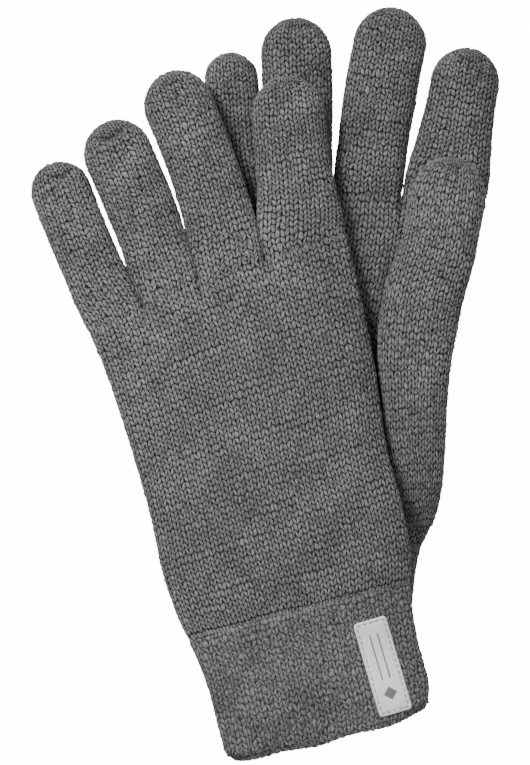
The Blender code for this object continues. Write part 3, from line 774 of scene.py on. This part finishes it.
def left_thumb_base(wales, inset=0.0, rows=0):
    """Base grid of the left thumb, pressed flat between the gloves."""
    root, tip = TUCKED_LINE
    run = tip - root
    length = np.linalg.norm(run)
    heading = run / length
    side = np.array([heading[1], -heading[0]])
    distance, wide, tall, _ = tube_to_tip(length - inset, 2 * (TUCKED_HALF - inset), 0.0, COURSE,
                                          min_rows=rows)
    columns = wales * PER_WALE
    grid = np.zeros((len(distance), columns, 3))
    for r in range(len(distance)):
        x, z = section((TUCKED_HALF - inset) * wide[r], (PRESSED_THUMB / 2 - inset) * tall[r], columns,
                       TUCKED_BLUNTNESS, start=-math.pi / 2)
        grid[r, :, :2] = root + heading * distance[r] + side * x[:, None]
        grid[r, :, 2] = THICKNESS + STACK_GAP + PRESSED_THUMB / 2 + z
    return grid


def left_thumb_pieces(seed):
    """The left thumb's knit and its lining."""
    shell = knit_mesh("left_thumb_knit", left_thumb_base(TUCKED_WALES), TUCKED_WALES, closed_tip=True,
                      seed=seed, relief=0.45)
    base = left_thumb_base(FINGER_LINING_WALES, inset=1.6, rows=16)
    return shell, inside_tube("left_thumb_fleece", base, 1.0, tip=True)


# ------------------------------------------------------------ label


def label_height(across, along):
    """Top of the left cuff at places on it."""
    left, right = read(LEFT_OUTLINE, along, 1), read(LEFT_OUTLINE, along, 2)
    share = np.minimum(np.abs(across - (left + right) / 2) / ((right - left) / 2), 1)
    top = THICKNESS / 2 * (1 + (1 - share**BLUNTNESS) ** (1 / BLUNTNESS))
    return support(placed(LEFT_PLACE, across, along)) + top


def on_label(u, v, lift):
    """Points over the left cuff from the label's own centre."""
    c, s = math.cos(math.radians(LABEL_TURN)), math.sin(math.radians(LABEL_TURN))
    across = LABEL_PLACE[0] + u * c - v * s
    along = LABEL_PLACE[1] + u * s + v * c
    xy = placed(LEFT_PLACE, across, along)
    z = label_height(across, along) + lift
    return np.concatenate([xy, np.broadcast_to(z, across.shape)[..., None]], -1)


def rounded_rectangle(wide, tall, corner, count):
    """Points round a rectangle with round corners, spread evenly, and the length round it."""
    points = []
    for k, (cx, cy) in enumerate(((1, 1), (-1, 1), (-1, -1), (1, -1))):
        for t in np.linspace(0, math.pi / 2, 9):
            turn = t + k * math.pi / 2
            points.append((cx * (wide / 2 - corner) + corner * math.cos(turn),
                           cy * (tall / 2 - corner) + corner * math.sin(turn)))
    points = np.array(points + points[:1])
    length = np.concatenate([[0], np.cumsum(np.linalg.norm(np.diff(points, axis=0), axis=1))])
    want = np.linspace(0, length[-1], count, endpoint=False)
    return np.stack([np.interp(want, length, points[:, k]) for k in (0, 1)], -1), length[-1]


def label_piece():
    """The woven patch: a padded ribbon with folded edges, sewn down round its border."""
    wide, tall = LABEL_SIZE
    count = 220
    outline, _ = rounded_rectangle(wide, tall, 1.5, count)
    spine = np.stack([np.zeros(count), np.clip(outline[:, 1], -(tall - wide) / 2, (tall - wide) / 2)], -1)
    verts = []
    uv_plan = []
    for share in np.linspace(0, 1, 22):
        plan = spine + (outline - spine) * share
        inset = (1 - share) * wide / 2
        edge = smooth(inset, 0.0, 0.5)
        seam = np.exp(-(((inset - LABEL_SEAM) / 0.42) ** 2))
        puff = 0.75 + 0.28 * edge - 0.34 * seam + 0.12 * smooth(inset, 1.4, 4)
        wave = 0.08 * ripple(plan, 7.0, 31)
        verts.append(on_label(plan[:, 0], plan[:, 1], puff * edge + 0.55 * (1 - edge) + wave))
        uv_plan.append(plan)
    for plan in (outline, spine):  # the underside
        verts.append(on_label(plan[:, 0], plan[:, 1], 0.1))
        uv_plan.append(plan)
    verts = np.array(verts)
    uv_plan = np.array(uv_plan)
    total = len(verts)
    i = np.arange(count)
    j = (i + 1) % count
    ring = np.arange(total)[:, None] * count
    low, high = np.arange(total - 1), np.arange(1, total)
    quads = np.stack([ring[low] + i, ring[low] + j, ring[high] + j, ring[high] + i], -1).reshape(-1, 4)
    uv = uv_plan.reshape(-1, 2)[quads.reshape(-1)]
    return make_mesh("woven_patch", verts.reshape(-1, 3), quads, np.zeros((0, 3), int), uv)


def stitching_piece():
    """Separate running stitches of grey thread round the patch."""
    wide, tall = LABEL_SIZE
    count = 900
    around, length = rounded_rectangle(wide - 2 * LABEL_SEAM, tall - 2 * LABEL_SEAM, 0.8, count)
    stitches = int(length / STITCH_PITCH)
    verts, quads = [], []
    sides = 8
    steps = 8
    for k in range(stitches):
        part = np.linspace(k / stitches, (k + STITCH_SHARE) / stitches, steps + 1) * count
        spine = np.stack([np.interp(part, np.arange(count + 1), np.append(around[:, c], around[0, c]))
                          for c in (0, 1)], -1)
        arch = np.sin(np.linspace(0, math.pi, steps + 1))
        points = on_label(spine[:, 0], spine[:, 1], 0.62 + 0.34 * arch)
        ahead = np.gradient(points, axis=0)
        ahead /= np.linalg.norm(ahead, axis=1, keepdims=True)
        right = np.cross(ahead, [0, 0, 1.0])
        right /= np.linalg.norm(right, axis=1, keepdims=True)
        up = np.cross(right, ahead)
        turn = np.linspace(0, TAU, sides, endpoint=False)
        radius = THREAD_RADIUS * (0.45 + 0.55 * arch)
        tube = points[:, None] + radius[:, None, None] * (
            np.cos(turn)[None, :, None] * right[:, None] + np.sin(turn)[None, :, None] * up[:, None])
        base = sum(len(v) for v in verts)
        verts.append(tube.reshape(-1, 3))
        i = np.arange(sides)
        j = (i + 1) % sides
        for r in range(steps):
            quads.append(np.stack([base + r * sides + i, base + r * sides + j,
                                   base + (r + 1) * sides + j, base + (r + 1) * sides + i], -1))
        for r, flip in ((0, False), (steps, True)):
            cap = base + r * sides + i
            quads.append(np.array([[cap[0], cap[1], cap[2], cap[3]], [cap[0], cap[3], cap[4], cap[7]],
                                   [cap[4], cap[5], cap[6], cap[7]]])[:, ::(1 if flip else -1)])
    verts = np.concatenate(verts)
    quads = np.concatenate(quads)
    return make_mesh("patch_stitches", verts, quads, np.zeros((0, 3), int), np.zeros((len(quads) * 4, 2)))


# ------------------------------------------------------------ materials


class Nodes:
    """Short ways to place and join shader nodes."""

    def __init__(self, tree):
        self.tree = tree

    def add(self, kind, **settings):
        node = self.tree.nodes.new(kind)
        for key, value in settings.items():
            setattr(node, key, value)
        return node

    def put(self, socket, value):
        if isinstance(value, bpy.types.NodeSocket):
            self.tree.links.new(value, socket)
        elif value is not None:
            socket.default_value = value

    def math(self, operation, *values):
        node = self.add("ShaderNodeMath", operation=operation)
        for socket, value in zip(node.inputs, values):
            self.put(socket, value)
        return node.outputs[0]

    def spread(self, value, low, high, to_low=0.0, to_high=1.0):
        node = self.add("ShaderNodeMapRange", interpolation_type="SMOOTHSTEP")
        for socket, v in zip(node.inputs, (value, low, high, to_low, to_high)):
            self.put(socket, v)
        return node.outputs[0]

    def mix(self, share, one, two, blend="MIX"):
        node = self.add("ShaderNodeMix", data_type="RGBA", blend_type=blend)
        self.put(node.inputs[0], share)
        self.put(node.inputs[6], one)
        self.put(node.inputs[7], two)
        return node.outputs[2]

    def noise(self, vector, scale, detail=2.0, roughness=0.5, dimensions="3D"):
        node = self.add("ShaderNodeTexNoise", noise_dimensions=dimensions)
        self.put(node.inputs["Vector"], vector)
        self.put(node.inputs["Scale"], scale)
        self.put(node.inputs["Detail"], detail)
        self.put(node.inputs["Roughness"], roughness)
        return node.outputs["Fac"]

    def combine(self, x, y, z=0.0):
        node = self.add("ShaderNodeCombineXYZ")
        for socket, value in zip(node.inputs, (x, y, z)):
            self.put(socket, value)
        return node.outputs[0]


def group(name, inputs, outputs):
    """An empty node group with named sockets, and its helper, input and output nodes."""
    tree = bpy.data.node_groups.new(name, "ShaderNodeTree")
    for socket, kind, default in inputs:
        made = tree.interface.new_socket(name=socket, in_out="INPUT", socket_type=kind)
        if default is not None:
            made.default_value = default
    for socket, kind in outputs:
        tree.interface.new_socket(name=socket, in_out="OUTPUT", socket_type=kind)
    nodes = Nodes(tree)
    return tree, nodes, nodes.add("NodeGroupInput"), nodes.add("NodeGroupOutput")


def yarn_group():
    """Loops of heathered yarn from stitch places: colour, and height for bump.

    The loops have the shape that loop_body gives them, so the painted shade lies in the gaps of the relief.
    """
    tree, n, given, out = group(
        "heathered_yarn",
        (("Stitches", "NodeSocketVector", None), ("Dark", "NodeSocketColor", (0.05, 0.05, 0.05, 1)),
         ("Light", "NodeSocketColor", (0.3, 0.3, 0.3, 1)), ("Painted Gap Shade", "NodeSocketFloat", 0.3),
         ("Slant", "NodeSocketFloat", LOOP_SLANT)),
        (("Color", "NodeSocketColor"), ("Height", "NodeSocketFloat")),
    )
    split = n.add("ShaderNodeSeparateXYZ")
    n.put(split.inputs[0], given.outputs["Stitches"])
    a, b = split.outputs[0], split.outputs[1]
    in_wale = n.math("FRACT", a)
    from_middle = n.math("MULTIPLY", n.math("ABSOLUTE", n.math("SUBTRACT", in_wale, 0.5)), 2.0)
    climb = n.math("MULTIPLY", n.math("SUBTRACT", from_middle, 0.5), given.outputs["Slant"])
    course = n.math("ADD", b, climb)
    leg_number = n.math("FLOOR", n.math("MULTIPLY", a, 2.0))
    leg = n.math("FRACT", n.math("MULTIPLY", a, 2.0))
    in_course = n.math("FRACT", course)
    lean = n.math("SUBTRACT", n.math("MULTIPLY", n.math("LESS_THAN", in_wale, 0.5), 2.0), 1.0)
    w = n.math("SUBTRACT", n.math("MULTIPLY", in_course, 2.0), 1.0)
    flat_u = n.math("SUBTRACT", n.math("MULTIPLY", leg, 2.0), 1.0)
    room = n.math("SUBTRACT", 1.0, n.math("ABSOLUTE", flat_u))
    leaned = n.math("MULTIPLY", n.math("MULTIPLY", lean, LEG_LEAN), n.math("MULTIPLY", w, room))
    side = n.math("POWER", n.math("ABSOLUTE", n.math("ADD", flat_u, leaned)), SIDE_CURVE)
    end = n.math("POWER", n.math("ABSOLUTE", w), END_CURVE)
    between_legs = n.math("MULTIPLY", side, n.math("ADD", LEG_GAP, n.math("MULTIPLY", end, 1 - LEG_GAP)))
    between_courses = n.math("MULTIPLY", n.math("MULTIPLY", end, COURSE_GAP), n.math("SUBTRACT", 1.0, side))
    body = n.math("SUBTRACT", 1.0, n.math("ADD", between_legs, between_courses))
    # fibres run along the leg, in light and dark strands
    along = n.math("MULTIPLY", course, 1.6)
    fibre_at = n.combine(n.math("MULTIPLY", a, 6.6), n.math("MULTIPLY", along, 2.2), leg_number)
    fibres = n.noise(fibre_at, 1.0, 3.0, 0.6)
    fleck_at = n.combine(n.math("MULTIPLY", a, 3.2), n.math("MULTIPLY", along, 1.3), leg_number)
    flecks = n.noise(fleck_at, 1.0, 2.0, 0.6)
    loop_at = n.combine(leg_number, n.math("FLOOR", course))
    loop = n.add("ShaderNodeTexWhiteNoise", noise_dimensions="2D")
    n.put(loop.inputs["Vector"], loop_at)
    each = loop.outputs["Value"]
    share = n.math("ADD", n.math("MULTIPLY", n.spread(fibres, 0.36, 0.64), 0.62),
                   n.math("MULTIPLY", n.spread(flecks, 0.38, 0.62), 0.26))
    share = n.math("ADD", share, n.math("MULTIPLY", each, 0.26))
    yarn = n.mix(share, given.outputs["Dark"], given.outputs["Light"])
    # painted shade: the yarn's colour is darkened in the gaps between loops, down to the given share
    shade = n.spread(body, 0.37, 0.92, given.outputs["Painted Gap Shade"], 1.0)
    colour = n.mix(1.0, yarn, n.combine(shade, shade, shade), "MULTIPLY")
    n.put(out.inputs["Color"], colour)
    # a twist of the plies and the fibres stand a little out of the loop
    ply = n.math("SINE", n.math("ADD", n.math("MULTIPLY", course, 3 * TAU), n.math("MULTIPLY", leg, 5.0)))
    height = n.math("ADD", body, n.math("MULTIPLY", ply, 0.07))
    height = n.math("ADD", height, n.math("MULTIPLY", fibres, 0.35))
    n.put(out.inputs["Height"], height)
    return tree


def blotch_group():
    """Broad, soft unevenness of a cloth's shade."""
    tree, n, given, out = group(
        "cloth_unevenness",
        (("Color", "NodeSocketColor", (1, 1, 1, 1)), ("Amount", "NodeSocketFloat", 0.12),
         ("Size", "NodeSocketFloat", 40.0)),
        (("Color", "NodeSocketColor"),),
    )
    place = n.add("ShaderNodeTexCoord").outputs["Object"]
    wide = n.noise(place, given.outputs["Size"], 3.0, 0.55)
    low = n.math("SUBTRACT", 1.0, given.outputs["Amount"])
    high = n.math("ADD", 1.0, given.outputs["Amount"])
    factor = n.spread(wide, 0.3, 0.7, low, high)
    shade = n.combine(factor, factor, factor)
    n.put(out.inputs["Color"], n.mix(1.0, given.outputs["Color"], shade, "MULTIPLY"))
    return tree


def bump(n, shader, height, strength, distance):
    """Feeds a height into a shader's normal."""
    node = n.add("ShaderNodeBump")
    node.inputs["Strength"].default_value = strength
    node.inputs["Distance"].default_value = distance
    n.put(node.inputs["Height"], height)
    n.put(shader.inputs["Normal"], node.outputs[0])


def fresh_material(name, roughness, sheen=0.0):
    """A matt material, its nodes and its shader."""
    made = bpy.data.materials.new(name)
    made.use_nodes = True
    nodes = Nodes(made.node_tree)
    shader = made.node_tree.nodes["Principled BSDF"]
    shader.inputs["Roughness"].default_value = roughness
    shader.inputs["Specular IOR Level"].default_value = 0.1
    shader.inputs["Sheen Weight"].default_value = sheen
    shader.inputs["Sheen Roughness"].default_value = 0.6
    return made, nodes, shader


def grey(level):
    return (level, level, level, 1)


def knit_material(name, dark, light, gap):
    """Heathered yarn between a dark and a light grey, with painted shade in the gaps between loops: gap is
    the share of the yarn's colour left there.
    """
    made, n, shader = fresh_material(name, 0.95, 0.05)
    at = n.add("ShaderNodeUVMap", uv_map="stitches").outputs[0]
    yarn = n.add("ShaderNodeGroup", node_tree=YARN)
    n.put(yarn.inputs["Stitches"], at)
    n.put(yarn.inputs["Dark"], grey(dark))
    n.put(yarn.inputs["Light"], grey(light))
    n.put(yarn.inputs["Painted Gap Shade"], gap)
    uneven = n.add("ShaderNodeGroup", node_tree=BLOTCHES)
    n.put(uneven.inputs["Color"], yarn.outputs["Color"])
    n.put(uneven.inputs["Amount"], 0.15)
    n.put(uneven.inputs["Size"], 55.0)
    n.put(shader.inputs["Base Color"], uneven.outputs["Color"])
    bump(n, shader, yarn.outputs["Height"], 0.7, 0.00025)
    return made


def fleece_material():
    """Dark brushed fleece: fine tufts in soft clumps."""
    made, n, shader = fresh_material("lining_fleece", 0.98, 0.3)
    place = n.add("ShaderNodeTexCoord").outputs["Object"]
    tufts = n.noise(place, 900.0, 4.0, 0.7)
    clumps = n.noise(place, 220.0, 2.0, 0.5)
    share = n.math("ADD", n.math("MULTIPLY", tufts, 0.6), n.math("MULTIPLY", clumps, 0.4))
    n.put(shader.inputs["Base Color"], n.mix(n.spread(share, 0.35, 0.65), (0.02, 0.02, 0.022, 1),
                                             (0.075, 0.075, 0.078, 1)))
    bump(n, shader, share, 0.8, 0.0006)
    return made


def label_material():
    """Woven ribbon: fine warp and weft, with two plain stripes and a diamond woven in."""
    made, n, shader = fresh_material("woven_patch", 0.55, 0.15)
    at = n.add("ShaderNodeUVMap", uv_map="stitches").outputs[0]
    split = n.add("ShaderNodeSeparateXYZ")
    n.put(split.inputs[0], at)
    u, v = split.outputs[0], split.outputs[1]
    warp = n.math("SINE", n.math("MULTIPLY", u, TAU / 0.42))
    weft = n.math("SINE", n.math("MULTIPLY", v, TAU / 0.30))
    crossing = n.math("MULTIPLY", n.math("MULTIPLY", warp, weft), 0.5)
    weave = n.math("ADD", n.math("MULTIPLY", warp, 0.5), crossing)
    slub = n.noise(n.combine(n.math("MULTIPLY", u, 6.0), n.math("MULTIPLY", v, 0.8)), 1.0, 2.0, 0.5)
    tone = n.math("ADD", n.math("MULTIPLY", weave, 0.10), n.math("MULTIPLY", slub, 0.5))
    colour = n.mix(n.spread(tone, 0.05, 0.5), grey(0.66), grey(0.97))
    # the motif, in millimetres from the middle of the patch
    beside = n.math("ABSOLUTE", n.math("SUBTRACT", n.math("ABSOLUTE", u), 1.5))
    stripe = n.spread(beside, 0.34, 0.2)
    upper = n.spread(n.math("ABSOLUTE", n.math("SUBTRACT", v, 4.0)), 9.0, 8.8)
    from_centre = n.math("ADD", n.math("ABSOLUTE", u), n.math("ABSOLUTE", n.math("ADD", v, 10.5)))
    diamond = n.spread(from_centre, 2.8, 2.5)
    drawn = n.math("MAXIMUM", n.math("MULTIPLY", stripe, upper), diamond)
    n.put(shader.inputs["Base Color"], n.mix(drawn, colour, (0.16, 0.16, 0.165, 1)))
    bump(n, shader, weave, 0.5, 0.00012)
    return made


def thread_material():
    """Grey sewing thread, flecked by its twist."""
    made, n, shader = fresh_material("sewing_thread", 0.6, 0.1)
    place = n.add("ShaderNodeTexCoord").outputs["Object"]
    twist = n.noise(place, 2500.0, 2.0, 0.5)
    n.put(shader.inputs["Base Color"], n.mix(twist, grey(0.1), grey(0.3)))
    bump(n, shader, twist, 0.4, 0.0001)
    return made


YARN = yarn_group()
BLOTCHES = blotch_group()
KNIT = knit_material("grey_knit", 0.026, 0.235, 0.02)
# The right hand and fingers. The darker yarn stands in for the shade that they lie in, and it stays when the
# left glove is lifted away.
SHADED_KNIT = knit_material("grey_knit_painted_shade", 0.024, 0.205, 0.02)
CUFF_KNIT = knit_material("grey_cuff_knit", 0.026, 0.225, 0.2)
FLEECE = fleece_material()
PATCH = label_material()
THREAD = thread_material()

# ------------------------------------------------------------ assembly


def finish_piece(thing, material, body, nodes):
    """Gives a piece its material in a slot, hides the CAD nodes that it stands for, and attaches it to its
    body if one is given.
    """
    thing.data.materials.append(material)
    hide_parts(*nodes)
    if body:
        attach(thing, body)
    return thing


ROOT_BEND = (0.5, 21.0)  # distances from a left finger's root, handed to bend_at
CREASE_BEND = (-4.0, 6.0)  # distances from a right finger's crease, handed to bend_at


def bend_at(thing, place, fingers, name, hand, tip, low, high):
    """Bakes a finger piece's placement into its mesh."""
    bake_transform(thing)


def build_hand(side, place, draped, seed):
    """Hand, cuff, cuff facing and hand lining of one glove."""
    body = f"{side}_glove"
    # the right hand's yarn is darker: painted shade
    knit = KNIT if side == "left" else SHADED_KNIT
    finish_piece(hand_piece(side, place, draped, seed), knit, body, [f"{side}_hand_shell"])
    finish_piece(cuff_piece(side, place, draped, seed + 20), CUFF_KNIT, body, [f"{side}_cuff"])
    finish_piece(facing_piece(side, place, draped), KNIT, body, [f"{side}_cuff_facing"])
    finish_piece(hand_lining(side, place, draped), FLEECE, body, [f"{side}_hand_lining"])


def build_fingers():
    """All fingers of both gloves, their knit and their linings."""
    for k, name in enumerate(FINGERS):
        for side, place, fingers, draped in (("left", LEFT_PLACE, LEFT_FINGERS, True),
                                             ("right", RIGHT_PLACE, RIGHT_FINGERS, False)):
            shell = finger_piece(side, place, fingers, name, draped, 100 + 10 * k + (side == "left"))
            lining = finger_lining(side, place, fingers, name, draped)
            if side == "left":
                knit, parts, bend, moving = KNIT, [""], ROOT_BEND, "finger"
            else:
                crease = fingers[name][0] - RIGHT_FOLDS[name]
                bend = (crease + CREASE_BEND[0], crease + CREASE_BEND[1])
                # the right fingers' yarn is darker: painted shade
                knit, parts, moving = SHADED_KNIT, ["", "tip"], "fingertip"
            tip_body = f"{side}_{name}_{moving}_part"
            for thing, end, look, slot in ((shell, "", knit, "knit"), (lining, "_lining", FLEECE, "lining")):
                names = [f"{side}_{name}_finger{part}{end}" for part in parts]
                finish_piece(thing, look, None, names)
                bend_at(thing, place, fingers, name, f"{side}_glove", tip_body, *bend)


def build_thumbs():
    """The right thumb, which rises from its palm, and the left one, tucked under its palm."""
    shell, lining = right_thumb_pieces(301)
    for thing, tail, look, slot in ((shell, "", KNIT, "knit"), (lining, "_lining", FLEECE, "lining")):
        finish_piece(thing, look, None, [f"right_thumb{tail}", f"right_thumb_root{tail}"])
        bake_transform(thing)
    shell, lining = left_thumb_pieces(302)
    finish_piece(shell, KNIT, "left_glove", ["left_thumb"])
    finish_piece(lining, FLEECE, "left_glove", ["left_thumb_lining"])


def build_label():
    finish_piece(label_piece(), PATCH, "left_glove", ["label"])
    finish_piece(stitching_piece(), THREAD, "left_glove", ["label_stitching"])


FLOOR_GLOW = 14.0  # brightens only what the eye sees of the floor and the surroundings
SKY_LIGHT = 0.45  # soft light all round that falls on the gloves
FLOOR_LEVEL = -0.0006  # just under the lowest loops
EYE_HEIGHT = 3.0  # above the middle of the gloves' thickness
EYE_AT = (0.00009, 0.00089, 0.022)  # what the camera looks straight down at
VIEW_WIDTH = 0.2014
SENSOR = 36.0
# Place, size and power
LAMPS = {"key": ((-0.95, 1.1, 1.6), 0.7, 68.0), "fill": ((0.9, -0.5, 1.7), 1.4, 8.0)}


def build_studio():
    """A pale floor, soft light all round, a key and a fill lamp, and the camera straight above."""
    bpy.ops.mesh.primitive_plane_add(size=8.0, location=(0, 0, FLOOR_LEVEL))
    floor = bpy.context.object
    floor.name = "studio_floor"
    made, n, shader = fresh_material("studio_floor", 0.9)
    shader.inputs["Base Color"].default_value = (0.93, 0.93, 0.93, 1)
    shader.inputs["Emission Color"].default_value = (FLOOR_GLOW, FLOOR_GLOW, FLOOR_GLOW, 1)
    n.put(shader.inputs["Emission Strength"], n.add("ShaderNodeLightPath").outputs["Is Camera Ray"])
    floor.data.materials.append(made)

    world = bpy.data.worlds.new("studio")
    bpy.context.scene.world = world
    world.use_nodes = True
    background = world.node_tree.nodes["Background"]
    background.inputs["Color"].default_value = (1, 1, 1, 1)
    sky = Nodes(world.node_tree)
    seen = sky.add("ShaderNodeLightPath").outputs["Is Camera Ray"]
    sky.put(background.inputs["Strength"],
            sky.math("ADD", sky.math("MULTIPLY", seen, FLOOR_GLOW), SKY_LIGHT))
    for name, (place, size, power) in LAMPS.items():
        lamp = bpy.data.lights.new(name, "AREA")
        lamp.size = size
        lamp.energy = power
        thing = bpy.data.objects.new(name, lamp)
        bpy.context.scene.collection.objects.link(thing)
        thing.location = place
        way = -np.array(place)
        thing.rotation_euler = (math.atan2(math.hypot(way[0], way[1]), -way[2]), 0,
                                math.atan2(way[0], -way[1]) + math.pi)

    camera = bpy.data.cameras.new("camera")
    eye = bpy.data.objects.new("camera", camera)
    bpy.context.scene.collection.objects.link(eye)
    camera.sensor_fit = "HORIZONTAL"
    camera.sensor_width = SENSOR
    camera.lens = SENSOR * EYE_HEIGHT / VIEW_WIDTH
    camera.clip_end = 20.0
    eye.location = (EYE_AT[0], EYE_AT[1], EYE_HEIGHT + EYE_AT[2])
    bpy.context.scene.camera = eye


build_studio()
build_hand("left", LEFT_PLACE, True, 11)
build_hand("right", RIGHT_PLACE, False, 51)
build_fingers()
build_thumbs()
build_label()
